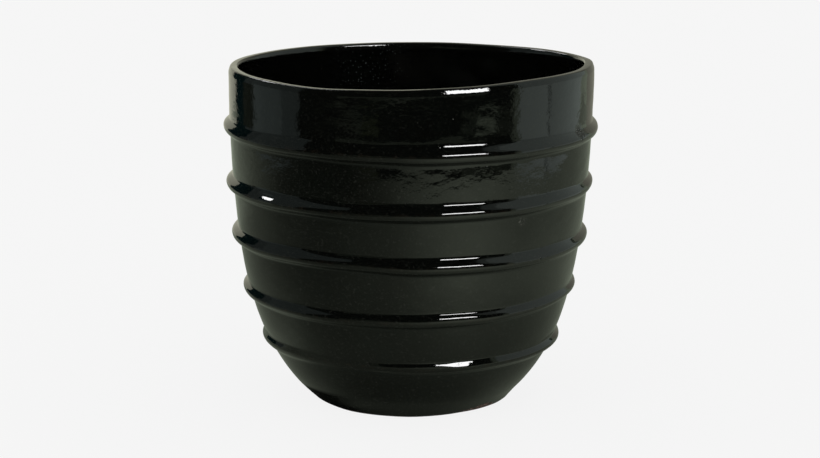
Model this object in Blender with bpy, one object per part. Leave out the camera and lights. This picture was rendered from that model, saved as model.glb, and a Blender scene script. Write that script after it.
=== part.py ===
# Ribbed black-glazed clay planter, hand built from a floor slab, five wall
# sections, a collar section and five raised coils pressed over the seams.
# Metres, +Z up, origin at the middle of the underside.
import math

import bpy

for old in list(bpy.data.objects):
    bpy.data.objects.remove(old, do_unlink=True)

SEGMENTS = 48            # facets round every turned ring
GAP = 0.00032            # slip line between neighbouring clay pieces

# ---- outer wall curve ------------------------------------------------------
HEIGHT = 0.3725          # floor to the flat top of the rim
RIM_RADIUS = 0.200       # outer radius at the rim
BELLY_TAPER = 0.226      # share of the radius lost over the whole height
BELLY_POWER = 2.2
FOOT_TUCK = 0.225        # share lost in the tight curve above the foot
FOOT_POWER = 6.9
WALL = 0.0130            # clay thickness, square to the surface
RIM_ROUND = 0.0032       # soft edges of the rim

# ---- floor -----------------------------------------------------------------
FLOOR = 0.0140           # thickness of the floor slab
LEDGE = 0.0072           # height of the step that the first section stands on
STEP_RADIUS = 0.1040     # radius of that step
DRAIN_RADIUS = 0.0140    # drainage hole
FOOT_BEVEL = 0.0015

# ---- raised coils, lowest first: seam height, how far proud ----------------
COILS = (
    ("raised_coil_1", 0.0690, 0.0066),
    ("raised_coil_2", 0.1260, 0.0058),
    ("raised_coil_3", 0.1855, 0.0074),
    ("raised_coil_4", 0.2440, 0.0068),
    ("raised_coil_5", 0.3050, 0.0072),
)
COIL_ABOVE = 0.0088      # coil's reach above the seam
COIL_BELOW = 0.0106      # and below it
KEY_DEPTH = 0.0036       # V notch along the seam, filled by the coil's back
KEY_HALF = 0.0038
SCARF = 0.0048           # rise of the slanted seam towards the inside

SECTIONS = ("wall_section_1", "wall_section_2", "wall_section_3",
            "wall_section_4", "wall_section_5", "collar_section")


def outer(z):
    t = min(max(1.0 - z / HEIGHT, 0.0), 1.0)
    return RIM_RADIUS * (1.0 - BELLY_TAPER * t ** BELLY_POWER
                         - FOOT_TUCK * t ** FOOT_POWER)


def slope(z):
    return (outer(min(z + 0.001, HEIGHT)) - outer(max(z - 0.001, 0.0))) / 0.002


def inner(z):
    return outer(z) - WALL * math.sqrt(1.0 + slope(z) ** 2)


def between(low, high, count):
    return [low + (high - low) * i / (count - 1) for i in range(count)]


def material(name, colour, roughness):
    mat = bpy.data.materials.new(name)
    mat.use_nodes = True
    bsdf = mat.node_tree.nodes["Principled BSDF"]
    bsdf.inputs["Base Color"].default_value = (*colour, 1.0)
    bsdf.inputs["Roughness"].default_value = roughness
    bsdf.inputs["Metallic"].default_value = 0.0
    return mat


def turned(name, section, mat):
    """Closed ring from a section given counter-clockwise as (radius, height)."""
    verts, faces = [], []
    n = len(section)
    for s in range(SEGMENTS):
        a = 2.0 * math.pi * s / SEGMENTS
        c, d = math.cos(a), math.sin(a)
        verts += [(r * c, r * d, z) for r, z in section]
    for s in range(SEGMENTS):
        t = (s + 1) % SEGMENTS
        for i in range(n):
            j = (i + 1) % n
            faces.append((s * n + i, t * n + i, t * n + j, s * n + j))
    mesh = bpy.data.meshes.new(name)
    mesh.from_pydata(verts, [], faces)
    mesh.validate()
    mesh.polygons.foreach_set("use_smooth", [True] * len(mesh.polygons))
    mesh.set_sharp_from_angle(angle=math.radians(32))
    mesh.materials.append(mat)
    obj = bpy.data.objects.new(name, mesh)
    bpy.context.scene.collection.objects.link(obj)
    return obj


# ---- floor slab: flat disc with a ledge round its upper edge ---------------
foot = outer(0.0)
turned("base_slab", [
    (DRAIN_RADIUS + FOOT_BEVEL, 0.0),
    (foot - FOOT_BEVEL, 0.0),
    (foot + 0.0004, FOOT_BEVEL),
    (outer(LEDGE * 0.6) - 0.0002, LEDGE * 0.6),
    (outer(LEDGE) - 0.0002, LEDGE),
    (STEP_RADIUS, LEDGE),
    (STEP_RADIUS, FLOOR),
    (DRAIN_RADIUS + FOOT_BEVEL, FLOOR),
    (DRAIN_RADIUS, FLOOR - FOOT_BEVEL),
    (DRAIN_RADIUS, FOOT_BEVEL),
], material("bare_fired_clay", (0.16, 0.075, 0.045), 0.85))

# ---- wall sections, each standing on the one below -------------------------
seams = [c[1] for c in COILS]
for k, name in enumerate(SECTIONS):
    glaze = material("black_glaze_" + name, (0.006, 0.0065, 0.006), 0.06)
    low = seams[k - 1] if k else None
    high = seams[k] if k < len(seams) else None
    ring = []
    # lower edge, from the inside out
    if low is None:
        z0 = LEDGE + GAP
        ring += [(STEP_RADIUS + GAP, z0), (outer(z0) - 0.0002, z0)]
        z_out_low, z_in_low = z0, FLOOR + 0.0010
    else:
        ring += [(inner(low + SCARF), low + SCARF + 0.55 * GAP),
                 (outer(low) - KEY_DEPTH, low + 0.55 * GAP),
                 (outer(low + KEY_HALF), low + KEY_HALF)]
        z_out_low, z_in_low = low + KEY_HALF, low + SCARF
    # outside, going up
    z_out_high = HEIGHT - RIM_ROUND if high is None else high - KEY_HALF
    z_in_high = HEIGHT - RIM_ROUND if high is None else high + SCARF - 0.55 * GAP
    ring += [(outer(z), z) for z in between(z_out_low, z_out_high, 4)[1:-1]]
    # upper edge, from the outside in
    if high is None:
        q = RIM_ROUND
        ring += [(outer(HEIGHT), HEIGHT - q),
                 (outer(HEIGHT) - 0.29 * q, HEIGHT - 0.29 * q),
                 (outer(HEIGHT) - q, HEIGHT),
                 (outer(HEIGHT) - WALL + q, HEIGHT),
                 (outer(HEIGHT) - WALL + 0.29 * q, HEIGHT - 0.29 * q),
                 (outer(HEIGHT) - WALL, HEIGHT - q)]
    else:
        ring += [(outer(high - KEY_HALF), high - KEY_HALF),
                 (outer(high) - KEY_DEPTH, high - 0.55 * GAP),
                 (inner(high + SCARF), high + SCARF - 0.55 * GAP)]
    # inside, going down
    if low is None:
        for z in between(z_in_high, FLOOR + 0.010, 4)[1:]:
            ring.append((inner(z), z))
        ring.append((STEP_RADIUS + 0.0040, FLOOR + 0.0020))
        ring.append((STEP_RADIUS + GAP, FLOOR + 0.0002))
    else:
        ring += [(inner(z), z) for z in between(z_in_high, z_in_low, 4)[1:-1]]
    turned(name, ring, glaze)

# ---- raised coils, keyed into the seams ------------------------------------
for name, z, proud in COILS:
    glaze = material("black_glaze_" + name, (0.006, 0.0065, 0.006), 0.06)
    skin = 1.25 * GAP

    def wall(dz):
        return outer(z + dz) + skin

    turned(name, [
        (wall(-COIL_BELOW), z - COIL_BELOW),
        (wall(-COIL_BELOW) + 0.0009, z - COIL_BELOW - 0.0002),
        (wall(-0.0072) + 0.42 * proud, z - 0.0072),
        (wall(-0.0042) + 0.80 * proud, z - 0.0042),
        (wall(0.0) + 0.98 * proud, z - 0.0004),
        (wall(0.0030) + 0.86 * proud, z + 0.0030),
        (wall(0.0056) + 0.46 * proud, z + 0.0056),
        (wall(COIL_ABOVE) + 0.0008, z + COIL_ABOVE + 0.0002),
        (wall(COIL_ABOVE), z + COIL_ABOVE),
        (wall(KEY_HALF), z + KEY_HALF - 0.2 * GAP),
        (outer(z) - KEY_DEPTH + 1.9 * GAP, z),
        (wall(-KEY_HALF), z - KEY_HALF + 0.2 * GAP),
    ], glaze)
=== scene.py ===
import math

import bpy
import numpy as np
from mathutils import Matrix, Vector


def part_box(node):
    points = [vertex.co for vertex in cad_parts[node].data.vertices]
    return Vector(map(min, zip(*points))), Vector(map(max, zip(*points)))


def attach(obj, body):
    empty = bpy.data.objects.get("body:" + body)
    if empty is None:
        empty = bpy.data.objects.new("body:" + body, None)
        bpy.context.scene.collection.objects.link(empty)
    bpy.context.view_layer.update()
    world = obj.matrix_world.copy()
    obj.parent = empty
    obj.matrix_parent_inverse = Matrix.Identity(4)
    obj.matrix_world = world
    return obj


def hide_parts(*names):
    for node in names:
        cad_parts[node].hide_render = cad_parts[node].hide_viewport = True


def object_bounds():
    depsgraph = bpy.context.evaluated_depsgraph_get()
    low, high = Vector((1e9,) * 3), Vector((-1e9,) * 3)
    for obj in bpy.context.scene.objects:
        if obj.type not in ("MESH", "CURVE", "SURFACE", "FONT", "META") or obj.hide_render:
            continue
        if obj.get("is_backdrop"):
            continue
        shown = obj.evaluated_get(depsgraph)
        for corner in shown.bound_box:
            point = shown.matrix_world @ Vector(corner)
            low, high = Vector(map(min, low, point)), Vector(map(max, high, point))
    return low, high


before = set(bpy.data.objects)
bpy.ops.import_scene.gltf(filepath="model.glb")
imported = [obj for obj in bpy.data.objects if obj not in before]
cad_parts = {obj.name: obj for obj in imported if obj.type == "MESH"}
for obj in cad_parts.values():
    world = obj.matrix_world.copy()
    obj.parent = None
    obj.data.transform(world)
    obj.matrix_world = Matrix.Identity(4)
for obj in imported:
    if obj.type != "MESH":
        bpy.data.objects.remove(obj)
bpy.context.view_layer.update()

# ---------------------------------------------------------------------------
# Sizes, read from the frame where the frame holds them
# ---------------------------------------------------------------------------
COLS = 540                                   # columns round the pot
RIM_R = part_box("collar_section")[1].x
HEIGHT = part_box("collar_section")[1].z
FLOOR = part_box("base_slab")[1].z
DRAIN_R = 0.0140
WALL = 0.0130
TAPER, TAPER_POWER, TUCK, TUCK_POWER = 0.226, 2.2, 0.225, 6.9
COIL_NAMES = ["raised_coil_%d" % k for k in range(1, 6)]
COIL_Z = [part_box(n)[0].z + 0.0108 for n in COIL_NAMES]
COIL_R = [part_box(n)[1].x for n in COIL_NAMES]
SECTION_NAMES = ["wall_section_%d" % k for k in range(1, 6)] + ["collar_section"]

PHI = np.arange(COLS) * (2.0 * math.pi / COLS)   # 0 faces -Y, a quarter turn is +X
DEG = np.degrees((PHI + math.pi) % (2.0 * math.pi) - math.pi)


# ---------------------------------------------------------------------------
# Hand-made wander, all of it smooth, periodic and fixed by its seed
# ---------------------------------------------------------------------------
class Wander:
    """A smooth field over the pot: waves round the pot (m) and up it (q)."""

    def __init__(self, seed, count, m_range, wave_up, rms):
        rng = np.random.RandomState(seed)
        self.m = rng.randint(m_range[0], m_range[1] + 1, count)
        self.q = 2.0 * math.pi / rng.uniform(wave_up[0], wave_up[1], count)
        self.q *= rng.choice([-1.0, 1.0], count)
        self.p = rng.uniform(0.0, 2.0 * math.pi, count)
        self.a = rms * math.sqrt(2.0 / count)

    def __call__(self, z):
        z = np.asarray(z, float) + np.zeros(COLS)
        out = np.zeros(COLS)
        for m, q, p in zip(self.m, self.q, self.p):
            out += self.a * np.cos(m * PHI + q * z + p)
        return out


def around(points):
    """A periodic curve through (degrees, value) pairs, eased between them."""
    pts = sorted(points)
    d = np.array([p[0] for p in pts], float)
    v = np.array([p[1] for p in pts], float)
    d = np.concatenate([d - 360.0, d, d + 360.0])
    v = np.concatenate([v, v, v])
    k = np.clip(np.searchsorted(d, DEG, side="right") - 1, 1, len(d) - 3)
    t = (DEG - d[k]) / (d[k + 1] - d[k])
    m0 = (v[k + 1] - v[k - 1]) / (d[k + 1] - d[k - 1]) * (d[k + 1] - d[k])
    m1 = (v[k + 2] - v[k]) / (d[k + 2] - d[k]) * (d[k + 1] - d[k])
    return ((2 * t**3 - 3 * t**2 + 1) * v[k] + (t**3 - 2 * t**2 + t) * m0
            + (-2 * t**3 + 3 * t**2) * v[k + 1] + (t**3 - t**2) * m1)


oval = Wander(11, 6, (3, 5), (0.5, 1.2), 0.00018)        # slightly out of round
dents = Wander(12, 26, (6, 13), (0.05, 0.12), 0.000075)  # palm-sized flats
ripple = Wander(13, 40, (10, 32), (0.012, 0.030), 0.000020)
dimple = Wander(14, 60, (70, 150), (0.008, 0.018), 0.0000040)
inside = Wander(15, 30, (6, 20), (0.03, 0.10), 0.00035)

# the rim was cut by eye: a little high at the front right, low at the front left
RIM_RISE = around([(-180, -0.0015), (-150, -0.0013), (-125, -0.0014), (-108, -0.0010), (-85, -0.0010), (-62, -0.0013),
                   (-50, -0.0019), (-40, -0.0029), (-28, -0.0034), (-14, -0.0026), (0, -0.0015), (12, -0.0003),
                   (24, 0.0010), (42, 0.0026), (54, 0.0028), (64, 0.0026), (78, 0.0026), (92, 0.0023),
                   (104, 0.0009), (117, 0.0002), (130, -0.0004), (143, -0.0013), (160, -0.0016)])

# each coil was rolled, laid and thumbed down by hand: its height, reach and fullness
# change on the way round (degrees, millimetres)
def mm(points):
    return around([(d, v * 0.001) for d, v in points])


COIL_SHIFT = [                                           # crest above or below its seam
    mm([(-180, 0.0), (-120, -0.8), (-70, -1.9), (-45, -0.6), (-24, 0.2), (-14, 0.0), (-8, -0.6), (0, -1.6), (8, -2.1), (20, -2.4), (32, -2.3), (52, -2.3), (75, -2.6), (130, -1.2)]),
    mm([(-180, 0.0), (-110, -1.2), (-70, -1.9), (-45, -2.2), (-20, -2.9), (0, -3.6), (14, -3.1), (26, -3.2), (46, -1.1), (70, 1.4), (120, 0.8)]),
    mm([(-180, 0.0), (-110, 0.4), (-70, 0.7), (-40, 1.0), (-22, 1.2), (-12, 0.3), (-4, -1.5), (4, -2.4), (20, -2.7), (34, -2.9), (60, -2.2), (85, -1.6), (130, -0.4)]),
    mm([(-180, 0.0), (-110, -0.2), (-70, -1.0), (-40, -1.6), (-18, -2.4), (0, -3.15), (12, -3.2), (24, -3.4), (36, -2.7), (60, -1.4), (85, -0.8), (130, 0.0)]),
    mm([(-180, 0.0), (-110, 0.9), (-80, 1.1), (-60, 0.3), (-40, -0.6), (-24, -1.0), (-10, -1.8), (2, -2.9), (20, -3.1), (36, -2.6), (60, -1.9), (85, -1.4), (130, -0.4)]),
]
COIL_PROUD = [                                           # how far the crest stands off the wall
    mm([(-180, 6.2), (-90, 5.7), (-70, 5.6), (-52, 4.2), (-44, 2.6), (-36, 1.3), (-27, 1.2), (-20, 2.0), (-14, 3.0), (-9, 3.6), (-3, 4.3), (3, 4.45), (8, 4.45), (13, 4.55), (17, 5.6), (20, 5.8), (24, 5.7), (30, 5.5), (40, 5.8), (60, 6.4), (80, 7.1), (120, 6.4)]),
    mm([(-180, 5.8), (-90, 6.8), (-60, 6.5), (-30, 5.8), (0, 5.6), (30, 5.4), (75, 4.9), (120, 5.4)]),
    mm([(-180, 7.4), (-90, 8.0), (-60, 7.6), (-30, 7.2), (0, 7.2), (30, 7.0), (75, 7.2), (120, 7.2)]),
    mm([(-180, 6.8), (-90, 7.6), (-66, 7.4), (-50, 7.0), (-30, 6.9), (0, 6.9), (26, 6.5), (50, 4.9), (75, 5.4), (120, 6.4)]),
    mm([(-180, 7.2), (-90, 6.7), (-60, 6.7), (-30, 6.6), (0, 6.8), (30, 6.8), (75, 6.7), (120, 7.0)]),
]
COIL_UP = [                                              # crest to the wall above
    mm([(-180, 9.4), (-75, 9.6), (-50, 10.0), (-36, 9.2), (-24, 7.4), (-16, 6.8), (-9, 7.2), (-3, 9.0), (4, 10.6), (9, 11.4), (14, 11.0), (21, 10.6), (32, 10.2), (50, 9.6), (75, 9.2), (120, 9.4)]),
    mm([(-180, 9.0), (-80, 8.0), (-60, 9.6), (-45, 10.4), (-20, 11.4), (0, 11.6), (25, 12.0), (50, 9.6), (78, 7.2), (120, 8.5)]),
    mm([(-180, 9.5), (-80, 9.0), (-60, 11.4), (-45, 11.6), (-20, 11.2), (-8, 11.6), (0, 13.2), (12, 13.8), (28, 12.8), (50, 11.2), (78, 9.0), (120, 9.5)]),
    mm([(-180, 9.5), (-80, 8.8), (-66, 10.6), (-58, 11.0), (-50, 11.8), (-40, 11.8), (-20, 12.2), (0, 12.8), (20, 13.2), (35, 12.4), (55, 10.6), (78, 9.2), (120, 9.5)]),
    mm([(-180, 10.5), (-80, 9.4), (-50, 11.6), (-20, 12.6), (-6, 13.2), (4, 14.6), (12, 15.4), (22, 14.6), (45, 12.0), (78, 9.6), (120, 10.5)]),
]
COIL_DOWN = [                                            # crest to the wall below
    mm([(-180, 9.8), (-60, 9.8), (-24, 8.6), (0, 8.6), (40, 9.0), (90, 9.8)]),
    mm([(-180, 9.6), (-80, 9.8), (0, 8.6), (78, 7.6), (120, 9.0)]),
    mm([(-180, 10.2), (-80, 10.6), (0, 9.8), (78, 9.6), (120, 10.2)]),
    mm([(-180, 10.8), (-80, 10.8), (0, 10.6), (78, 10.2), (120, 10.8)]),
    mm([(-180, 11.0), (-80, 9.8), (0, 11.2), (78, 10.2), (120, 11.0)]),
]
BELLY_SHARE = [0.55, 0.58, 0.64, 0.61, 0.67]             # rounded part of the lower flank
CROWN_SHARE = [                                          # rounded part of the upper flank
    around([(-180, 0.6), (-80, 0.74), (-45, 0.55), (0, 0.52), (45, 0.55), (80, 0.74)]),
    around([(-180, 0.6), (-80, 0.74), (-45, 0.50), (-28, 0.44), (-12, 0.56), (0, 0.66), (45, 0.60), (80, 0.74)]),
    around([(-180, 0.6), (-80, 0.74), (-45, 0.44), (-28, 0.38), (-12, 0.44), (0, 0.48), (45, 0.52), (80, 0.74)]),
    around([(-180, 0.6), (-80, 0.74), (-45, 0.44), (-28, 0.38), (-12, 0.46), (0, 0.52), (45, 0.54), (80, 0.74)]),
    around([(-180, 0.6), (-80, 0.74), (-45, 0.50), (0, 0.44), (45, 0.50), (80, 0.74)]),
]
CURL = [                                                 # 1: a straight flank; 2: one arc into the other
    around([(-180, 1.5), (-80, 1.4), (-45, 1.25), (-20, 1.3), (-5, 1.45), (4, 1.68), (13, 1.68), (17, 1.42), (40, 1.35), (80, 1.4)]),
    around([(-180, 1.5), (-80, 1.5), (-64, 1.30), (-50, 1.22), (-40, 1.35), (-30, 1.60), (-20, 1.75), (0, 1.90), (25, 1.80), (50, 1.25), (80, 1.4)]),
    around([(-180, 1.5), (-80, 1.5), (-64, 1.30), (-50, 1.18), (-40, 1.25), (-30, 1.45), (-20, 1.52), (0, 1.55), (25, 1.50), (50, 1.18), (80, 1.4)]),
    around([(-180, 1.5), (-80, 1.4), (-64, 1.16), (-58, 1.10), (-50, 1.10), (-42, 1.28), (-34, 1.50), (-24, 1.60), (-10, 1.50), (0, 1.48), (25, 1.45), (50, 1.20), (80, 1.4)]),
    around([(-180, 1.5), (-80, 1.4), (-55, 1.12), (-38, 1.04), (-24, 1.08), (-10, 1.35), (0, 1.55), (25, 1.50), (50, 1.18), (80, 1.4)]),
]
COIL_FINE = [Wander(30 + k, 10, (4, 14), (9.0, 20.0), 0.00016) for k in range(5)]
FULL_FINE = [Wander(40 + k, 10, (4, 14), (9.0, 20.0), 0.016) for k in range(5)]


def outer(z):
    t = np.clip(1.0 - np.asarray(z, float) / HEIGHT, 0.0, 1.0)
    return RIM_R * (1.0 - TAPER * t**TAPER_POWER - TUCK * t**TUCK_POWER)


def slope(z):
    z = np.asarray(z, float)
    return (outer(z + 0.0008) - outer(z - 0.0008)) / 0.0016


WIDER = 0.0002 - 0.0007 * np.cos(2.0 * PHI)             # a little wider side to side than front to back


FOOT_FLARE = mm([(-180, 0.3), (-90, 0.3), (-62, 0.2), (-48, 1.2), (-30, 2.2), (-8, 2.2), (8, 1.9), (24, 1.0), (40, 1.1), (54, 2.3), (66, 3.0), (80, 1.8),
                 (100, 0.5)])


def low_down(z):
    """The wall is a little fuller at its foot, where it was beaten onto the slab."""
    z = np.asarray(z, float)
    return (0.0006 * np.exp(-((z / HEIGHT) / 0.13) ** 2) - 0.00012) * np.sin(PHI) ** 2


def cove(z):
    """The collar is smoothed down into the top coil with a long soft curve."""
    edge = COIL_Z[4] + COIL_SHIFT[4] + COIL_UP[4]
    return 0.00042 * np.exp(-0.5 * ((z - edge + 0.003) / 0.0045) ** 2)


def wall_r(z):
    z = np.asarray(z, float) + np.zeros(COLS)
    return outer(z) + WIDER + low_down(z) + oval(z) + dents(z) + ripple(z) + dimple(z) + cove(z)


def inner_r(z):
    z = np.asarray(z, float) + np.zeros(COLS)
    return outer(z) - WALL * np.sqrt(1.0 + slope(z) ** 2) + WIDER + oval(z) + inside(z)


# sideways wander of the axis: share of the height, millimetres
LEAN = [(0.0, 0.35), (0.05, 0.5), (0.12, 0.85), (0.18, 0.6), (0.23, 0.15), (0.28, -0.15), (0.38, -0.2), (0.42, -0.25),
        (0.54, 0.05), (0.59, 0.35), (0.71, 0.6), (0.86, 1.1), (0.95, 1.4), (1.0, 1.45)]
LEAN_FIT = np.polyfit([t for t, v in LEAN], [v * 0.001 for t, v in LEAN], 7)


def lean(z):
    """The axis wanders a millimetre or so sideways on its way up."""
    return np.polyval(LEAN_FIT, np.asarray(z, float) / HEIGHT)


def place(r, z):
    """Radius and height round the pot, as points in the row frame."""
    r = np.asarray(r, float) + np.zeros(COLS)
    z = np.asarray(z, float) + np.zeros(COLS)
    return np.stack([r * np.sin(PHI) + lean(z), -r * np.cos(PHI), z], axis=-1)


def roll(v, up, down, proud, crest_share, curl=2.0):
    """How far a coil stands off the wall, v from -1 at its lower edge to +1 at its upper.

    A round crest, a straight flank and a round fillet; curl 2 leaves no straight part."""
    width = np.where(np.asarray(v) >= 0, up, down)
    angle = np.arctan2(proud, width) * curl
    total = (width * np.sin(angle) - proud * np.cos(angle)) / (1.0 - np.cos(angle))
    flank = (width - total * np.sin(angle)) / np.cos(angle)
    crest = total * crest_share
    fillet = total - crest
    x = np.abs(v) * width
    x1 = crest * np.sin(angle)
    x2 = width - fillet * np.sin(angle)
    a = proud - (crest - np.sqrt(np.maximum(crest**2 - x**2, 0.0)))
    b = fillet - np.sqrt(np.maximum(fillet**2 - (width - x) ** 2, 0.0))
    m = proud - crest * (1.0 - np.cos(angle)) - (x - x1) * np.tan(angle)
    return np.where(x <= x1, a, np.where(x >= x2, b, m))


# ---------------------------------------------------------------------------
# The whole skin as one set of rows, outside up, over the rim, inside down,
# across the floor, down the drain hole and back under the foot
# ---------------------------------------------------------------------------
rows, marks = [], {}
edge_row, pool_row = [], []


def add(points, edge=0.0, pool=0.0):
    rows.append(points)
    edge_row.append(np.zeros(COLS) + edge)
    pool_row.append(np.zeros(COLS) + pool)


def spaced(a, b, n):
    """n values between a and b, both ends left out; a and b may be arrays."""
    return [a + (b - a) * (i + 1) / (n + 1) for i in range(n)]


crest_z, up_w, down_w = [], [], []
for k in range(5):
    zc = COIL_Z[k] + COIL_SHIFT[k] + COIL_FINE[k](0.0)
    crest_z.append(zc)
    up_w.append(COIL_UP[k] * (1.0 + FULL_FINE[(k + 2) % 5](3.0)))
    down_w.append(COIL_DOWN[k] * (1.0 + FULL_FINE[(k + 3) % 5](5.0)))


def skin(z):
    """The wall's radius, fading to a plain circle at the very foot."""
    z = np.asarray(z, float) + np.zeros(COLS)
    return (outer(z) + (wall_r(z) - outer(z)) * np.clip(z / 0.02, 0.15, 1.0)
            + FOOT_FLARE * np.clip(1.0 - z / 0.014, 0.0, 1.0) ** 1.6)


# foot: the underside's edge is rubbed round
foot_r = float(outer(0.0))
marks["foot_start"] = 0
foot_wave = Wander(51, 14, (3, 22), (9.0, 20.0), 0.00022)(0.0) + FOOT_FLARE
add(place(foot_r - 0.0022 + foot_wave, 0.0), edge=1.0)
add(place(foot_r - 0.0008 + foot_wave, 0.00004), edge=1.0)
add(place(foot_r - 0.0001 + foot_wave, 0.00040), edge=0.9)
add(place(skin(0.0014), 0.0014), edge=0.6)
for z in (0.0028, 0.0043, 0.0058):
    add(place(skin(z), z), edge=0.25 if z < 0.003 else 0.0)
LEDGE = 0.0072
marks["slab_top"] = len(rows)
add(place(skin(LEDGE), LEDGE))

THUMB = 0.0041
low = np.zeros(COLS) + LEDGE
for k in range(5):
    proud = COIL_PROUD[k] * (1.0 + FULL_FINE[k](0.0))
    top = crest_z[k] - down_w[k]
    n = max(8, int(round(float(np.mean(top - low)) / 0.0026)))
    for z in spaced(low, top, n):
        add(place(skin(z), z))
    marks["coil_low_%d" % k] = len(rows)
    steps = [-1.0, -0.965, -0.93, -0.89, -0.85, -0.80, -0.75, -0.70, -0.65, -0.60, -0.55, -0.50, -0.44, -0.38, -0.31,
             -0.24, -0.17, -0.10, -0.04, 0.02, 0.08, 0.15, 0.22, 0.29, 0.36, 0.42, 0.48, 0.53, 0.58, 0.63, 0.68, 0.73,
             0.78, 0.83, 0.88, 0.92, 0.96, 1.0]
    for v in steps:
        z = crest_z[k] + v * (up_w[k] if v >= 0 else down_w[k])
        if v == 1.0:
            marks["coil_high_%d" % k] = len(rows)
        share, curl = (CROWN_SHARE[k], CURL[k]) if v >= 0 else (BELLY_SHARE[k], 2.0)
        h = roll(v, up_w[k], down_w[k], proud, share, curl)
        if k == 3 and v > 0:
            # a thumb pressed this one flat high on its left shoulder
            turn = (PHI + math.radians(48.8) + math.pi) % (2.0 * math.pi) - math.pi
            mid = int(np.argmin(np.abs(turn)))
            at_x = THUMB / up_w[k][mid]
            crown = float(roll(at_x, up_w[k], down_w[k], proud, share, curl)[mid] + skin(z)[mid])
            flat = (crown - 1.20 * (z - crest_z[k][mid] - THUMB)) / np.cos(np.clip(turn, -0.3, 0.3)) - skin(z)
            rise = z - crest_z[k][mid] - THUMB
            press = np.exp(-np.minimum((rise / 0.0034) ** 4 + (turn / math.radians(4.2)) ** 4, 60.0))
            h = h + (flat - h) * press
        thin = math.exp(-((v - 0.05) / 0.16) ** 2)
        thick = math.exp(-((v + 0.90) / 0.10) ** 2)
        add(place(skin(z) + h, z), edge=0.8 * thin, pool=thick)
    low = crest_z[k] + up_w[k]

# collar up to where the rim starts to lean in
lean_in = HEIGHT - 0.0076 + RIM_RISE
n = int(round(float(np.mean(lean_in - low)) / 0.0026))
for z in spaced(low, lean_in, n):
    # the trimmed edge lifts the last few centimetres of wall with it
    add(place(skin(z), z))


def bend(d, h, a0, a1, radius, n):
    """Points along an arc; angle 0 goes up, 90 goes inward, 180 goes down."""
    out = []
    for i in range(1, n + 1):
        a = math.radians(a0 + (a1 - a0) * i / n)
        b = math.radians(a0)
        out.append((d + radius * (math.cos(b) - math.cos(a)), h + radius * (math.sin(a) - math.sin(b)), math.degrees(a)))
    return out


lip = [(0.0, -0.0072, 0.0)]
lip += bend(lip[-1][0], lip[-1][1], 0.0, 14.2, 0.0085, 6)
lip += bend(lip[-1][0], lip[-1][1], 14.2, 21.0, 0.0350, 8)
lip += bend(lip[-1][0], lip[-1][1], 21.0, 84.0, 0.0019, 9)
lip += bend(lip[-1][0], lip[-1][1], 84.0, 97.0, 0.0230, 6)
lip += bend(lip[-1][0], lip[-1][1], 97.0, 172.0, 0.0030, 10)
over = lip[-1]
top_h = max(h for d, h, a in lip)
lip_wave = Wander(21, 12, (4, 16), (9.0, 20.0), 0.00010)(0.0)
lip_wave_in = Wander(22, 12, (3, 13), (9.0, 20.0), 0.00022)(0.0)
base_lip = skin(HEIGHT - 0.0072)
for d, h, a in lip:
    share = d / over[0]
    thin = math.exp(-((a - 60.0) / 26.0) ** 2) + 0.7 * math.exp(-((a - 130.0) / 30.0) ** 2)
    if abs(h - top_h) < 1e-9:
        marks["rim"] = len(rows)
    add(place(base_lip - d + lip_wave_in * share, HEIGHT + h - top_h + RIM_RISE + lip_wave * min(1.0, (h + 0.0072) / 0.006)),
        edge=min(1.0, thin))

# inside wall, going down
start_r = base_lip - over[0] + lip_wave_in
start_z = HEIGHT + over[1] - top_h + RIM_RISE + lip_wave * min(1.0, (over[1] + 0.0072) / 0.006)
inner_bottom = FLOOR + 0.020
seam_inner = [COIL_Z[k] + 0.0048 for k in range(5)]
stops = [float(np.mean(start_z))] + seam_inner[::-1] + [inner_bottom]
for s in range(len(stops) - 1):
    a, b = stops[s], stops[s + 1]
    n = max(5, int(round((a - b) / 0.0055)))
    for i in range(1, n + 1):
        t = i / n
        if s == 0:
            z = start_z + (b - start_z) * t
            ease = t * t * (3.0 - 2.0 * t)
            r = start_r + (inner_r(z) - start_r) * ease
        else:
            z = a + (b - a) * t
            r = inner_r(z)
        if i == n and s < len(stops) - 2:
            marks["seam_in_%d" % (4 - s)] = len(rows)
        add(place(r, z))
# curve from wall to floor, then the floor to the drain hole
r0, z0 = inner_r(inner_bottom), inner_bottom
r1 = 0.088
for i in range(1, 10):
    a = math.radians(90.0 * i / 9)
    r = r1 + (r0 - r1) * (1.0 - math.sin(a)) ** 0.9
    z = FLOOR + (z0 - FLOOR) * (1.0 - math.sin(a)) ** 1.7
    if i == 6:
        marks["slab_in"] = len(rows)
    add(place(r, z))
for r in (0.076, 0.062, 0.047, 0.034, 0.024, 0.0185):
    add(place(r, FLOOR))
for r, z in ((0.0165, FLOOR), (0.0152, FLOOR - 0.0004), (0.0143, FLOOR - 0.0013), (0.0140, FLOOR - 0.0026),
             (0.0140, FLOOR / 2), (0.0140, 0.0022), (0.0143, 0.0011), (0.0150, 0.0003), (0.0162, 0.0),):
    add(place(r, z), edge=0.5)
for r in (0.024, 0.036, 0.052, 0.070, 0.088, 0.101):
    add(place(r, 0.0), edge=1.0)

GRID = np.array(rows)                       # rows x columns x 3
EDGE = np.array(edge_row)
POOL = np.array(pool_row)
ROWS = len(GRID)

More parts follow.
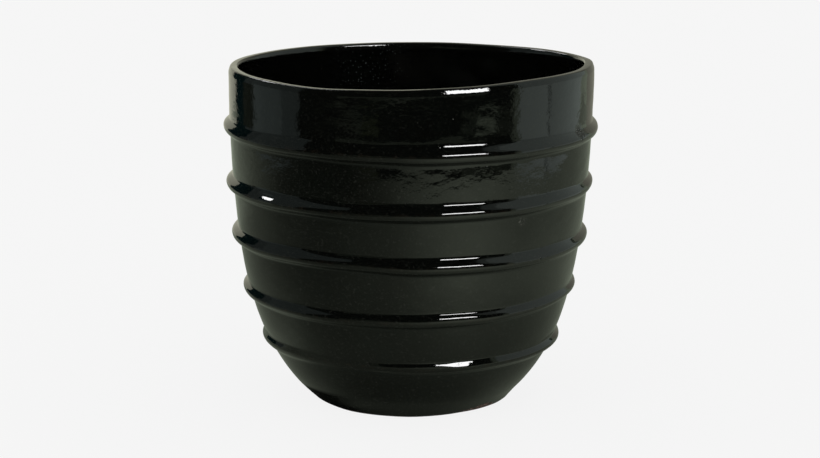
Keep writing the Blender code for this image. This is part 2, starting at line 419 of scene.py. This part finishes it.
# one normal field for the whole skin, so that shading runs on across piece edges
d_row = np.roll(GRID, -1, 0) - np.roll(GRID, 1, 0)
ahead = np.linalg.norm(np.roll(GRID, -1, 0) - GRID, axis=2, keepdims=True)
behind = np.linalg.norm(GRID - np.roll(GRID, 1, 0), axis=2, keepdims=True)
d_row = ((np.roll(GRID, -1, 0) - GRID) / np.maximum(ahead, 1e-9) * behind
         + (GRID - np.roll(GRID, 1, 0)) / np.maximum(behind, 1e-9) * ahead)
d_col = np.roll(GRID, -1, 1) - np.roll(GRID, 1, 1)
NORMAL = np.cross(d_col, d_row)
NORMAL /= np.maximum(np.linalg.norm(NORMAL, axis=2, keepdims=True), 1e-12)


# ---------------------------------------------------------------------------
# Pieces: each is a closed ring cut from the skin, with its hidden faces added
# ---------------------------------------------------------------------------
def ring(name, loop, node, mats, mat_of=None):
    """loop holds row numbers of the skin, or hidden rows of points, in order."""
    n = len(loop)
    pts = np.array([GRID[r] if isinstance(r, int) else r for r in loop])
    nor = np.zeros_like(pts)
    edge, pool, within = np.zeros((n, COLS)), np.zeros((n, COLS)), np.zeros((n, COLS))
    for i, r in enumerate(loop):
        if isinstance(r, int):
            nor[i], edge[i], pool[i] = NORMAL[r], EDGE[r], POOL[r]
            within[i] = 1.0 if r > marks["rim"] + 6 else 0.0
    verts = pts.reshape(-1, 3)
    i, j = np.meshgrid(np.arange(n), np.arange(COLS), indexing="ij")
    i2, j2 = (i + 1) % n, (j + 1) % COLS
    faces = np.stack([i * COLS + j, i * COLS + j2, i2 * COLS + j2, i2 * COLS + j], -1).reshape(-1, 4)
    mesh = bpy.data.meshes.new(name)
    mesh.vertices.add(len(verts))
    mesh.vertices.foreach_set("co", verts.ravel())
    mesh.loops.add(faces.size)
    mesh.loops.foreach_set("vertex_index", faces.ravel().astype(np.int32))
    mesh.polygons.add(len(faces))
    mesh.polygons.foreach_set("loop_start", np.arange(0, faces.size, 4, dtype=np.int32))
    mesh.update(calc_edges=True)
    mesh.validate()
    mesh.polygons.foreach_set("use_smooth", np.ones(len(faces), bool))
    for m in mats:
        mesh.materials.append(m)
    for label, values in (("glaze_thin", edge), ("glaze_pool", pool), ("glaze_within", within)):
        att = mesh.attributes.new(label, "FLOAT", "POINT")
        att.data.foreach_set("value", values.ravel().astype(np.float32))
    flat = nor.reshape(-1, 3)
    hidden = np.linalg.norm(flat, axis=1) < 0.5
    if hidden.any():
        auto = np.zeros(len(verts) * 3)
        mesh.vertices.foreach_get("normal", auto)
        flat[hidden] = auto.reshape(-1, 3)[hidden]
    mesh.normals_split_custom_set_from_vertices(flat.tolist())
    obj = bpy.data.objects.new(name, mesh)
    bpy.context.scene.collection.objects.link(obj)
    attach(obj, "root")
    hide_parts(node)
    return obj


def inset(row, depth, dz):
    """A hidden row: a skin row moved inward and up or down."""
    p = GRID[row].copy()
    out = p[:, :2] - np.array([lean(p[:, 2]), np.zeros(COLS)]).T
    length = np.linalg.norm(out, axis=1, keepdims=True)
    p[:, :2] -= out / length * depth
    p[:, 2] += dz
    return p


# ---------------------------------------------------------------------------
# Materials
# ---------------------------------------------------------------------------
class Nodes:
    """Short names for building a material's node tree."""

    def __init__(self, name):
        self.mat = bpy.data.materials.new(name)
        self.mat.use_nodes = True
        self.tree = self.mat.node_tree
        self.tree.nodes.clear()

    def add(self, kind, inputs=None, **props):
        n = self.tree.nodes.new(kind)
        for k, v in props.items():
            setattr(n, k, v)
        for k, v in (inputs or {}).items():
            self.put(n.inputs[k], v)
        return n

    def put(self, socket, v):
        if isinstance(v, bpy.types.NodeSocket):
            self.tree.links.new(v, socket)
        else:
            socket.default_value = v

    def math(self, op, a, b=None, c=None, clamp=False):
        n = self.tree.nodes.new("ShaderNodeMath")
        n.operation = op
        n.use_clamp = clamp
        for s, v in zip(n.inputs, (a, b, c)):
            if v is not None:
                self.put(s, v)
        return n.outputs[0]

    def ramp(self, value, lo, hi, out_lo=0.0, out_hi=1.0, smooth=True):
        n = self.add("ShaderNodeMapRange", {"Value": value, "From Min": lo, "From Max": hi, "To Min": out_lo, "To Max": out_hi})
        n.interpolation_type = "SMOOTHSTEP" if smooth else "LINEAR"
        return n.outputs[0]

    def noise(self, vector, scale, detail=2.0, rough=0.5, distort=0.0):
        n = self.add("ShaderNodeTexNoise", {"Vector": vector, "Scale": scale, "Detail": detail, "Roughness": rough, "Distortion": distort})
        return n.outputs["Fac"]

    def mix(self, fac, a, b):
        n = self.add("ShaderNodeMix", data_type="RGBA")
        self.put(n.inputs[0], fac)
        self.put(n.inputs[6], a)
        self.put(n.inputs[7], b)
        return n.outputs[2]


def rgba(r, g, b):
    return (r, g, b, 1.0)


def glaze(name, base=(0.0006, 0.0007, 0.00055), speck=1.0, bare_foot=False, mottle=1.0, dusty=1.0):
    """Wet-looking black glaze over clay: orange peel, pinholes, thin edges."""
    g = Nodes(name)
    at = g.add("ShaderNodeTexCoord").outputs["Object"]
    wide = g.add("ShaderNodeMapping", {"Vector": at, "Scale": (1.0, 1.0, 0.62)}).outputs[0]
    xyz = g.add("ShaderNodeSeparateXYZ", {"Vector": at})
    thin = g.add("ShaderNodeAttribute", attribute_name="glaze_thin").outputs["Fac"]
    pool = g.add("ShaderNodeAttribute", attribute_name="glaze_pool").outputs["Fac"]
    within = g.add("ShaderNodeAttribute", attribute_name="glaze_within").outputs["Fac"]

    # colour: black, a little green where it lies thick, brown where it breaks over an edge
    cloud = g.noise(wide, 26.0, 4.0, 0.6)
    body = g.mix(g.ramp(cloud, 0.38, 0.66), rgba(*base), rgba(base[0] * 1.25, base[1] * 1.6, base[2] * 1.5))
    grain = g.noise(at, 480.0, 3.0, 0.65)
    body = g.mix(g.ramp(grain, 0.50, 0.74), body, rgba(base[0] * 3.0, base[1] * 3.2, base[2] * 2.6))
    dust = g.ramp(g.noise(at, 400.0, 2.0, 0.6), 0.570, 0.69)
    body = g.mix(dust, body, rgba(0.0085 * dusty, 0.0090 * dusty, 0.0076 * dusty))
    # painted light: the inside of the pot gets a lighter black than the outside, to brighten its dim interior
    body = g.mix(g.math("MULTIPLY", within, 0.8), body, rgba(0.0017, 0.0018, 0.0015))
    worn = g.math("MULTIPLY", thin, g.ramp(g.noise(at, 130.0, 4.0, 0.65), 0.42, 0.72), clamp=True)
    body = g.mix(g.math("MULTIPLY", worn, 0.55), body, rgba(0.0105, 0.0066, 0.0040))
    body = g.mix(g.math("MULTIPLY", pool, 0.5), body, rgba(0.0012, 0.0020, 0.0018))

    # pinholes and grit, sparse and small
    cells = g.add("ShaderNodeTexVoronoi", {"Vector": at, "Scale": 88.0, "Randomness": 1.0})
    pick = g.add("ShaderNodeSeparateColor", {"Color": cells.outputs["Color"]})
    chosen = g.math("GREATER_THAN", pick.outputs[0], 0.80)
    size = g.math("MULTIPLY_ADD", pick.outputs[1], 0.040, 0.018)
    hole = g.math("SUBTRACT", 1.0, g.ramp(cells.outputs["Distance"], 0.0, size), clamp=True)
    hole = g.math("MULTIPLY", g.math("MULTIPLY", hole, chosen), speck, clamp=True)
    fine = g.add("ShaderNodeTexVoronoi", {"Vector": at, "Scale": 260.0, "Randomness": 1.0})
    fpick = g.add("ShaderNodeSeparateColor", {"Color": fine.outputs["Color"]})
    grit = g.math("MULTIPLY", g.math("GREATER_THAN", fpick.outputs[0], 0.86),
                  g.math("SUBTRACT", 1.0, g.ramp(fine.outputs["Distance"], 0.02, 0.16), clamp=True))
    grit = g.math("MULTIPLY", g.math("MULTIPLY", grit, g.ramp(g.noise(at, 14.0, 2.0), 0.42, 0.62)), speck)
    # painted glints: small light bluish specks painted on the far side of the throat, where the glaze sparkles
    throat_glint = g.math("MULTIPLY", g.ramp(xyz.outputs[1], 0.10, 0.16), g.ramp(xyz.outputs[0], 0.016, -0.034))
    throat_glint = g.math("MULTIPLY", throat_glint, g.ramp(xyz.outputs[0], -0.112, -0.070))
    glint_cells = g.add("ShaderNodeTexVoronoi", {"Vector": at, "Scale": 345.0, "Randomness": 1.0})
    glint_pick = g.add("ShaderNodeSeparateColor", {"Color": glint_cells.outputs["Color"]})
    glint_dot = g.math("MULTIPLY", g.ramp(glint_cells.outputs["Distance"], 0.30, 0.06), g.ramp(glint_pick.outputs[0], 0.22, 0.95))
    throat_glint = g.math("MULTIPLY", g.math("MULTIPLY", throat_glint, within), glint_dot)
    throat_glint = g.math("MULTIPLY", throat_glint, g.ramp(g.noise(at, 38.0, 2.0, 0.6), 0.34, 0.56, 0.50, 1.0))
    body = g.mix(g.math("MULTIPLY", hole, 0.85), body, rgba(0.155, 0.150, 0.130))
    body = g.mix(g.math("MULTIPLY", grit, 0.30), body, rgba(0.085, 0.082, 0.070))
    # painted glints in the throat, mixed into the glaze colour
    body = g.mix(g.math("MULTIPLY", throat_glint, 0.85), body, rgba(0.0680, 0.0800, 0.0780))

    # blemishes left by the hand: crazing under the top coil's right end, a pit, a scuff
    def near(x, y, z, inner, reach):
        away_from = g.add("ShaderNodeVectorMath", {0: at, 1: (x, y, z)}, operation="DISTANCE")
        return g.ramp(away_from.outputs["Value"], reach, inner)

    thread = g.math("ABSOLUTE", g.math("SUBTRACT", g.noise(at, 110.0, 3.0, 0.65), 0.5))
    craze = g.math("MULTIPLY", near(0.1815, -0.0930, 0.3088, 0.004, 0.014), g.ramp(thread, 0.085, 0.030))
    craze = g.math("MAXIMUM", craze, near(0.1376, -0.1397, 0.1835, 0.0008, 0.0024))
    scuff = g.math("MULTIPLY", near(0.1162, -0.1557, 0.2269, 0.001, 0.006), g.ramp(g.noise(at, 330.0, 2.0, 0.6), 0.46, 0.60))
    body = g.mix(craze, body, rgba(0.0040, 0.0034, 0.0026))
    body = g.mix(g.math("MULTIPLY", scuff, 0.7), body, rgba(0.070, 0.068, 0.060))

    # gloss: mirror-like, dulled a touch in clouds and on dust
    dull = g.ramp(g.noise(wide, 34.0, 5.0, 0.62), 0.40, 0.75)
    rough = g.math("MULTIPLY_ADD", dull, 0.035, 0.030)
    rough = g.math("MULTIPLY_ADD", g.ramp(grain, 0.35, 0.75), 0.020, rough)
    rough = g.math("MULTIPLY_ADD", hole, 0.45, rough)
    rough = g.math("MULTIPLY_ADD", grit, 0.20, rough)
    rough = g.math("MULTIPLY_ADD", worn, 0.06, rough)
    rough = g.math("MULTIPLY_ADD", craze, 0.55, rough)

    # relief: long soft swells, orange peel, pinhole pits
    brushed = g.add("ShaderNodeMapping", {"Vector": at, "Scale": (1.0, 1.0, 1.7)}).outputs[0]
    swell = g.noise(brushed, 55.0, 3.0, 0.55)
    blot = g.noise(g.add("ShaderNodeMapping", {"Vector": at, "Scale": (1.0, 1.0, 1.15)}).outputs[0], 150.0, 3.0, 0.62)
    peel = g.noise(at, 330.0, 2.0, 0.6)
    patch = g.ramp(g.noise(at, 9.0, 2.0, 0.5), 0.40, 0.62)
    height = g.math("MULTIPLY", g.math("MULTIPLY_ADD", patch, 0.9, 0.55), g.math("MULTIPLY", swell, 0.00013 * mottle))
    height = g.math("MULTIPLY_ADD", g.math("MULTIPLY", blot, g.math("MULTIPLY_ADD", patch, 0.7, 0.5)), 0.000085 * mottle, height)
    height = g.math("MULTIPLY_ADD", peel, 0.000018, height)
    height = g.math("MULTIPLY_ADD", hole, -0.00022, height)
    height = g.math("MULTIPLY_ADD", grit, 0.00011, height)
    height = g.math("MULTIPLY_ADD", craze, -0.00020, height)

    bare = None
    if bare_foot:
        wobble = g.math("MULTIPLY_ADD", g.noise(at, 45.0, 4.0, 0.6), 0.0052, -0.0016)
        # one place at the front right where the glaze ran thin
        run_x = g.math("SUBTRACT", xyz.outputs[0], 0.078)
        run_y = g.math("ADD", xyz.outputs[1], 0.088)
        run = g.math("SQRT", g.math("ADD", g.math("MULTIPLY", run_x, run_x), g.math("MULTIPLY", run_y, run_y)))
        wobble = g.math("MULTIPLY_ADD", g.ramp(run, 0.030, 0.008), g.math("MULTIPLY_ADD", g.noise(at, 150.0, 3.0, 0.6), 0.0130, -0.0006), wobble)
        bare = g.ramp(g.math("SUBTRACT", xyz.outputs[2], wobble), 0.0002, -0.0004)
        sand = g.noise(at, 520.0, 4.0, 0.7)
        clay = g.mix(g.ramp(g.noise(at, 60.0, 4.0, 0.6), 0.35, 0.7), rgba(0.070, 0.030, 0.017), rgba(0.034, 0.019, 0.013))
        clay = g.mix(g.ramp(sand, 0.55, 0.75), clay, rgba(0.105, 0.060, 0.040))
        # inside the pot, the floor is glazed like the rest
        bare = g.math("MULTIPLY", bare, g.math("LESS_THAN", xyz.outputs[2], 0.0072))
        body = g.mix(bare, body, clay)
        rough = g.math("MULTIPLY_ADD", bare, g.math("SUBTRACT", 0.85, rough), rough)
        height = g.math("MULTIPLY_ADD", g.math("MULTIPLY", bare, sand), 0.00030, height)

    bump = g.add("ShaderNodeBump", {"Height": height, "Distance": 1.0, "Strength": 1.0})
    bsdf = g.add("ShaderNodeBsdfPrincipled", {"Base Color": body, "Roughness": rough, "Normal": bump.outputs[0]})
    bsdf.inputs["IOR"].default_value = 1.55
    bsdf.inputs["Metallic"].default_value = 0.0
    out = g.add("ShaderNodeOutputMaterial")
    g.put(out.inputs["Surface"], bsdf.outputs[0])
    return g.mat


# ---------------------------------------------------------------------------
# Build the pieces
# ---------------------------------------------------------------------------
GAP = 0.00032
SINK = 0.0012

wall_glaze = glaze("black_glaze_wall", speck=0.6, mottle=1.0, dusty=0.9)
upper_glaze = glaze("black_glaze_upper_wall", speck=0.8, mottle=1.7)
collar_glaze = glaze("black_glaze_collar", speck=1.5, mottle=1.75, dusty=0.6)
coil_glaze = glaze("black_glaze_coil", mottle=0.6, speck=0.6, dusty=0.8)
slab_glaze = glaze("black_glaze_slab_and_bare_foot", bare_foot=True)


def rows_between(a, b):
    return list(range(a, b + 1))


def seam_rows(k, side):
    """Hidden rows under coil k, from its skin edge to the inner seam, for the wall below (-1) or above (+1)."""
    inner_row = marks["seam_in_%d" % k]
    if side < 0:
        edge = marks["coil_low_%d" % k]
        a = inset(edge, SINK, 0.0004)
        z_seam = COIL_Z[k] - 0.5 * GAP
        rise = inset(inner_row, -0.0030, -GAP)
    else:
        edge = marks["coil_high_%d" % k]
        a = inset(edge, SINK, -0.0004)
        z_seam = COIL_Z[k] + 0.5 * GAP
        rise = inset(inner_row, -0.0030, 0.0)
    b = place(skin(np.zeros(COLS) + z_seam) - 0.0036, z_seam)
    return a, b, rise


for k, name in enumerate(SECTION_NAMES):
    loop = []
    # skin going up
    first = marks["slab_top"] if k == 0 else marks["coil_high_%d" % (k - 1)]
    last = marks["coil_low_%d" % k] if k < 5 else None
    if last is not None:
        loop += rows_between(first, last)
        a, b, c = seam_rows(k, -1)
        loop += [a, b, c]
        in_from = marks["seam_in_%d" % k]
    else:
        in_from = marks["coil_high_4"]
        first = in_from
    if k == 5:
        loop += rows_between(first, marks["seam_in_4"])
    elif k == 0:
        loop += rows_between(in_from, marks["slab_in"])
    else:
        loop += rows_between(in_from, marks["seam_in_%d" % (k - 1)])
    if k > 0:
        a, b, c = seam_rows(k - 1, +1)
        loop += [c, b, a]
    else:
        p = inset(marks["slab_in"], -0.0020, -0.0010)
        loop += [p, place(0.1043, LEDGE + GAP), inset(marks["slab_top"], SINK, GAP)]
    piece_mat = {5: collar_glaze, 4: upper_glaze}.get(k, wall_glaze)
    ring(name + "_glazed", loop, name, [piece_mat])

for k, name in enumerate(COIL_NAMES):
    lo, hi = marks["coil_low_%d" % k], marks["coil_high_%d" % k]
    loop = rows_between(lo, hi)
    back = SINK - GAP
    loop += [inset(hi, back, -0.0008)]
    zs = COIL_Z[k]
    loop += [place(skin(zs + 0.0034) - back, zs + 0.0034), place(skin(zs + 0.0) - 0.0036 + 2.2 * GAP, zs),
             place(skin(zs - 0.0034) - back, zs - 0.0034)]
    loop += [inset(lo, back, 0.0008)]
    ring(name + "_glazed", loop, name, [coil_glaze])

loop = rows_between(marks["foot_start"], marks["slab_top"])
loop += [inset(marks["slab_top"], SINK, 0.0), place(0.1040, LEDGE), inset(marks["slab_in"], -0.0016, -0.0013)]
loop += rows_between(marks["slab_in"], ROWS - 1)
ring("base_slab_glazed", loop, "base_slab", [slab_glaze])

# ---------------------------------------------------------------------------
# Stage
# ---------------------------------------------------------------------------
scene = bpy.context.scene
PAPER = 0.920                                # the plain pale ground


def hide_from(obj, *kinds):
    for k in kinds:
        setattr(obj, "visible_" + k, False)


def sheet(name, size, z, cells=8):
    xs = np.linspace(-size, size, cells + 1)
    verts = [(x, y, z) for y in xs for x in xs]
    faces = [(j * (cells + 1) + i, j * (cells + 1) + i + 1, (j + 1) * (cells + 1) + i + 1, (j + 1) * (cells + 1) + i)
             for j in range(cells) for i in range(cells)]
    mesh = bpy.data.meshes.new(name)
    mesh.from_pydata(verts, [], faces)
    obj = bpy.data.objects.new(name, mesh)
    scene.collection.objects.link(obj)
    obj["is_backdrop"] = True
    return obj


# floor that the camera sees: pale, nearly even, with a faint contact shadow
g = Nodes("stage_floor_pale")
diffuse = g.add("ShaderNodeBsdfDiffuse", {"Color": rgba(0.06, 0.06, 0.06)})
glow = g.add("ShaderNodeEmission", {"Color": rgba(1.0, 1.0, 1.0), "Strength": PAPER - 0.06 * PAPER})
both = g.add("ShaderNodeAddShader")
g.put(both.inputs[0], diffuse.outputs[0])
g.put(both.inputs[1], glow.outputs[0])
g.put(g.add("ShaderNodeOutputMaterial").inputs["Surface"], both.outputs[0])
floor = sheet("stage_floor", 40.0, -0.0001)
floor.data.materials.append(g.mat)
hide_from(floor, "glossy")

# what the glaze mirrors below the horizon: a pale table top, lit from the front right
g = Nodes("stage_table_light")
at = g.add("ShaderNodeTexCoord").outputs["Object"]
xyz = g.add("ShaderNodeSeparateXYZ", {"Vector": at})
px, py = xyz.outputs[0], xyz.outputs[1]
azim = g.math("MULTIPLY", g.math("ARCTAN2", px, g.math("MULTIPLY", py, -1.0)), 180.0 / math.pi)
dist = g.math("SQRT", g.math("ADD", g.math("MULTIPLY", px, px), g.math("MULTIPLY", py, py)))


def curve(g, value, points, lo, hi):
    """A value read off a curve of (x, y) points."""
    n = g.add("ShaderNodeValToRGB")
    n.color_ramp.interpolation = "B_SPLINE" if len(points) > 3 else "EASE"
    els = n.color_ramp.elements
    while len(els) < len(points):
        els.new(0.5)
    for e, (x, y) in zip(els, sorted(points)):
        e.position = (x - lo) / (hi - lo)
        e.color = (y, y, y, 1.0)
    g.put(n.inputs[0], g.ramp(value, lo, hi, 0.0, 1.0, smooth=False))
    return n.outputs[0]


def round_pot(points):
    """A curve of light against azimuth, given as (degrees, value) pairs."""
    return curve(g, azim, points, -180.0, 180.0)


at_edge = round_pot([(-180, 0.40), (-140, 0.36), (-115, 0.30), (-98, 0.215), (-84, 0.085), (-60, 0.045), (-40, 0.040),
                     (-22, 0.090), (-8, 0.25), (4, 0.42), (20, 0.58), (32, 0.66), (46, 0.66), (60, 0.48), (80, 0.42),
                     (105, 0.32), (140, 0.26), (180, 0.40)])
away = round_pot([(-180, 0.30), (-140, 0.24), (-115, 0.22), (-100, 0.215), (-82, 0.18), (-62, 0.120), (-45, 0.122),
                  (-25, 0.19), (-10, 0.25), (2, 0.36), (12, 0.50), (24, 0.70), (34, 0.74), (48, 0.58), (62, 0.45),
                  (80, 0.40), (105, 0.37), (140, 0.28), (180, 0.30)])
close = round_pot([(-180, 0.22), (-110, 0.24), (-88, 0.29), (-74, 0.30), (-60, 0.17), (-40, 0.132), (-20, 0.165),
                   (0, 0.185), (14, 0.215), (30, 0.26), (48, 0.22), (75, 0.20), (110, 0.19), (150, 0.20), (180, 0.22)])
foot = round_pot([(-180, 0.16), (-110, 0.17), (-72, 0.16), (-52, 0.12), (-38, 0.078), (-20, 0.062), (0, 0.080),
                  (25, 0.092), (42, 0.145), (60, 0.185), (100, 0.18), (150, 0.16), (180, 0.16)])


def blend(t, a, b):
    return g.math("ADD", g.math("MULTIPLY", a, g.math("SUBTRACT", 1.0, t)), g.math("MULTIPLY", b, t))


# painted shade: close to the foot the table's light is painted darker, as the pot's own shadow, darkest to the front
# left and darker again right at the foot
level = blend(g.ramp(dist, 0.132, 0.235), foot, close)
under = round_pot([(-180, 0.16), (-102, 0.17), (-90, 0.10), (-76, 0.008), (-48, 0.002), (-40, 0.04), (-31, 0.085), (-16, 0.09), (0, 0.10), (30, 0.12),
                   (60, 0.17), (100, 0.17), (180, 0.16)])
level = blend(g.ramp(dist, 0.1235, 0.1320), under, level)
at_foot = round_pot([(-180, 0.16), (-102, 0.17), (-90, 0.09), (-77, 0.004), (-34, 0.003), (-22, 0.06), (-8, 0.10), (30, 0.12),
                     (60, 0.17), (180, 0.16)])
level = blend(g.ramp(dist, 0.1145, 0.1200), at_foot, level)
level = blend(g.ramp(dist, 0.20, 0.52), level, away)
level = blend(g.ramp(dist, 0.72, 1.02), level, at_edge)
level = g.math("MULTIPLY", level, g.ramp(dist, 0.100, 0.120, 0.3, 1.0))
level = g.math("MULTIPLY", level, g.ramp(g.noise(at, 2.6, 3.0), 0.3, 0.7, 0.90, 1.04))
tint = g.add("ShaderNodeCombineColor", {0: g.math("MULTIPLY", level, 0.89), 1: level, 2: g.math("MULTIPLY", level, 0.775)})
glow = g.add("ShaderNodeEmission", {"Color": tint.outputs[0], "Strength": 1.0})
g.put(g.add("ShaderNodeOutputMaterial").inputs["Surface"], glow.outputs[0])
outline = [(-1.42, -1.22), (-0.05, -1.155), (0.228, -1.085), (0.383, -1.045), (0.55, -0.980), (0.695, -0.888), (0.84, -0.753), (0.975, -0.61), (1.08, -0.44), (1.40, 0.62), (1.70, 1.50), (-1.42, 1.70)]
mesh = bpy.data.meshes.new("stage_table_mirrored")
mesh.from_pydata([(x, y, -0.0004) for x, y in outline], [], [list(range(len(outline)))])
table = bpy.data.objects.new("stage_table_mirrored", mesh)
scene.collection.objects.link(table)
table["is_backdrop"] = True
table.data.materials.append(g.mat)
hide_from(table, "camera", "diffuse", "transmission", "shadow")
g.mat.cycles.emission_sampling = "NONE"


# studio panels and lamps, seen only as reflections
def panel(name, az, el, dist, strength, colour=(1.0, 1.0, 1.0), cells=(24, 16), ragged=(0.0, 0.0)):
    """Part of a sphere round the pot: azimuth from the camera's side, to the right; elevation; degrees.

    ragged gives how far, in degrees, its left and right edges wander."""
    verts, faces = [], []
    nu, nv = cells
    if max(ragged) > 0.0:
        nv = int((el[1] - el[0]) / 0.22)
    chance = np.random.RandomState(len(name) * 7 + int(abs(az[0])))
    drift = []
    for side in (0, 1):
        coarse = np.interp(np.arange(nv + 1), np.arange(0, nv + 6, 5), chance.normal(size=len(range(0, nv + 6, 5))))
        drift.append(ragged[side] * (0.75 * coarse + 0.45 * chance.normal(size=nv + 1)))
    for j in range(nv + 1):
        e = math.radians(el[0] + (el[1] - el[0]) * j / nv)
        left, right = az[0] + drift[0][j], az[1] + drift[1][j]
        for i in range(nu + 1):
            a = math.radians(left + (right - left) * i / nu)
            verts.append((dist * math.cos(e) * math.sin(a), -dist * math.cos(e) * math.cos(a), 0.2 + dist * math.sin(e)))
    for j in range(nv):
        for i in range(nu):
            p = j * (nu + 1) + i
            faces.append((p, p + nu + 1, p + nu + 2, p + 1))
    mesh = bpy.data.meshes.new(name)
    mesh.from_pydata(verts, [], faces)
    obj = bpy.data.objects.new(name, mesh)
    scene.collection.objects.link(obj)
    obj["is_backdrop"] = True
    g = Nodes(name + "_light")
    glow = g.add("ShaderNodeEmission", {"Color": rgba(*colour), "Strength": strength})
    g.put(g.add("ShaderNodeOutputMaterial").inputs["Surface"], glow.outputs[0])
    g.mat.cycles.emission_sampling = "NONE"
    mesh.materials.append(g.mat)
    hide_from(obj, "camera", "diffuse", "transmission", "shadow")
    return obj


COOL = (0.87, 1.0, 0.92)
BLUE = (0.83, 1.0, 0.95)
TEAL = (0.30, 1.0, 1.10)
WARM = (1.0, 1.0, 0.80)
GREEN = (0.86, 1.0, 0.75)
OLIVE = (0.86, 1.0, 0.58)
panel("stage_dark_room", (-180, 180), (-89, 89), 9.0, 0.022, (0.9, 1.0, 0.85), cells=(48, 24))
panel("stage_backdrop_left", (-180, -140), (-24, 18), 6.0, 0.62, WARM)
panel("stage_backdrop_left_high", (-180, -140), (18, 70), 6.0, 0.30, WARM)
panel("stage_backdrop_right", (141, 180), (-24, 18), 6.0, 0.30, WARM)
panel("stage_backdrop_right_high", (141, 180), (18, 62), 6.0, 0.24, WARM)
panel("stage_dark_stand", (-138, -127), (-24, -5), 5.8, 0.020, TEAL, ragged=(1.2, 0.8))
panel("stage_dark_stand_top", (-145, -124), (-5, 48), 5.8, 0.020, TEAL)
panel("stage_grey_stand", (-128, -112), (-24, -4), 5.9, 0.042, GREEN)
panel("stage_left_high", (-124, -114), (-4, 80), 5.8, 0.11, BLUE)
panel("stage_left_top", (-150, -119), (48, 80), 5.8, 0.15, BLUE)
panel("stage_panel_left", (-113.2, -98), (-24, 6), 5.6, 0.250, BLUE, ragged=(0.9, 0.3))
panel("stage_panel_left_a", (-98.4, -86), (-24, 6), 5.65, 0.262, BLUE)
panel("stage_panel_left_b", (-86.4, -72.7), (-24, 6), 5.7, 0.186, BLUE, ragged=(0.0, 0.9))
panel("stage_panel_left_top", (-114, -72.5), (6, 80), 5.6, 0.155, BLUE)
panel("stage_cabinet_a", (-60, -47), (-24, -9.2), 5.4, 0.060, GREEN)
panel("stage_cabinet_b", (-47, -31), (-24, -9.2), 5.4, 0.105, GREEN)
panel("stage_cabinet_c", (-31, -20), (-24, -9.2), 5.4, 0.085, OLIVE)
panel("stage_shelf_a", (30, 40), (-24, -9.4), 5.4, 0.095, GREEN)
panel("stage_shelf_b", (40, 53), (-13.0, -11.2), 5.4, 0.44, GREEN)
panel("stage_shelf_c", (40, 53), (-11.2, -9.3), 5.4, 0.25, GREEN)
panel("stage_shelf_d", (53, 65), (-24, -9.0), 5.4, 0.080, GREEN)
panel("stage_shelf_e", (64.2, 69.5), (-24, 15), 5.7, 0.31, GREEN, ragged=(1.1, 0.0))
panel("stage_strip_a", (-46, -13), (-5.6, 7.0), 5.3, 0.12, GREEN)
panel("stage_strip_b", (-13, 46), (-5.6, -0.6), 5.3, 0.15, GREEN)
panel("stage_panel_right", (69, 92.6), (-24, 4), 5.6, 0.66, COOL, ragged=(0.9, 0.15))
panel("stage_panel_right_gap", (92.0, 94.6), (-24, 4), 5.7, 0.26, COOL)
panel("stage_panel_right_b", (94.2, 130), (-24, 4), 5.6, 0.57, COOL, ragged=(0.15, 0.0))
panel("stage_panel_right_c", (130, 141), (-24, 4), 5.6, 0.44, GREEN)
panel("stage_panel_right_d", (137, 141), (4, 85), 5.6, 0.40, GREEN)
panel("stage_panel_right_top", (69, 137), (4, 85), 5.6, 0.47, COOL)
panel("stage_right_stand", (136.8, 139.6), (12, 34), 5.3, 0.09, GREEN, ragged=(0.6, 0.6))
panel("stage_panel_right_high", (60, 70), (30, 62), 5.5, 0.25, COOL)
panel("stage_softbox", (20.3, 47.6), (19.2, 29.6), 4.0, 22.0)
panel("stage_lamp_left", (-130.0, -121.0), (37.0, 45.5), 4.2, 13.0)
for i, bright in enumerate((4.0, 7.0, 5.0, 9.0, 8.0, 6.0, 9.0, 7.0, 9.0, 8.0, 2.5, 0.9, 1.4)):
    panel("stage_lamp_behind_left_%02d" % i, (-158.0 + 1.15 * i, -157.2 + 1.15 * i), (30, 56), 4.6, bright, cells=(2, 8))

world = bpy.data.worlds.new("stage_world")
scene.world = world
world.use_nodes = True
back = world.node_tree.nodes["Background"]
back.inputs["Color"].default_value = rgba(1.0, 1.0, 1.0)
back.inputs["Strength"].default_value = PAPER
world.cycles_visibility.glossy = False

# ---------------------------------------------------------------------------
# Camera, a little above the rim, looking slightly down
# ---------------------------------------------------------------------------
cam_data = bpy.data.cameras.new("camera")
cam = bpy.data.objects.new("camera", cam_data)
scene.collection.objects.link(cam)
cam.location = (0.0, -2.2355, 0.6732)
cam.rotation_euler = (math.radians(90.0 - 12.323), 0.0, 0.0)
cam_data.sensor_width = 36.0
cam_data.lens = 36.0 * 2040.6 / 820.0
cam_data.clip_start = 0.05
cam_data.clip_end = 200.0
scene.camera = cam

scene.view_settings.view_transform = "Standard"
scene.view_settings.look = "None"
scene.view_settings.exposure = 0.0
scene.view_settings.gamma = 1.0

lo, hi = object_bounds()
